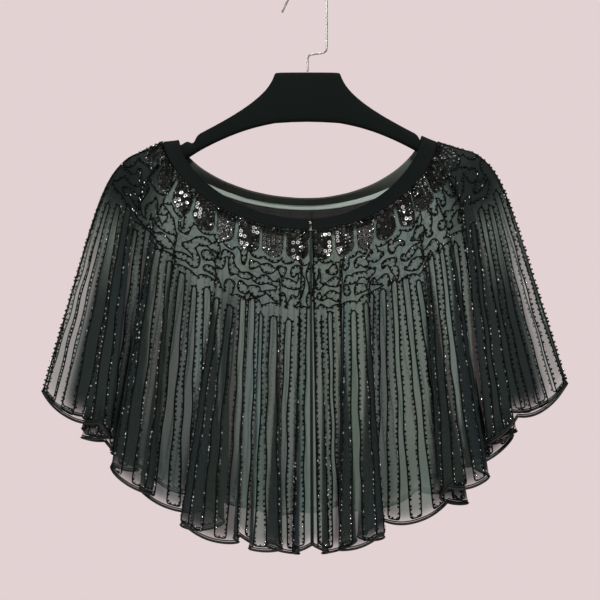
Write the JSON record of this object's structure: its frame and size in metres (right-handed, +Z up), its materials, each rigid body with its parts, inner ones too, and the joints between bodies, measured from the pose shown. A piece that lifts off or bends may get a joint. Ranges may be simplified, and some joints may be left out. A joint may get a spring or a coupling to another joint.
{
  "type": "beaded sheer capelet on a hanger",
  "caption": "short sheer shoulder cape, open down the front and hooked at the neck, with pleats and a scalloped beaded hem, hung on a broad-shouldered hanger with a cranked wire hook",
  "frame": {"origin": "inner top of the hanger's hook, where a rod carries it", "axes": "+X towards the wearer's left, -Y is the cape's front, +Z up"},
  "size_m": [0.6042, 0.1385, 0.6493],
  "materials": {
    "tulle": "fine sheer net, dark green-black",
    "band": "plain matte bias-cut crepe, near black",
    "tape": "soft pale grey-green stay tape",
    "beads": "small dark cut glass beads",
    "sequins": "cupped dark and silver sequins",
    "flocked_body": "moulded body with a fine black flock",
    "wire": "bright plated steel wire"
  },
  "bodies": {
    "root": {"front_right": "tulle", "front_left": "tulle", "back": "tulle", "neck_band": "band", "neck_tape": "tape", "closure_eye": "wire", "closure_hook": "wire", "hanger": "flocked_body", "hanger_hook": "wire"}
  },
  "joints": []
}
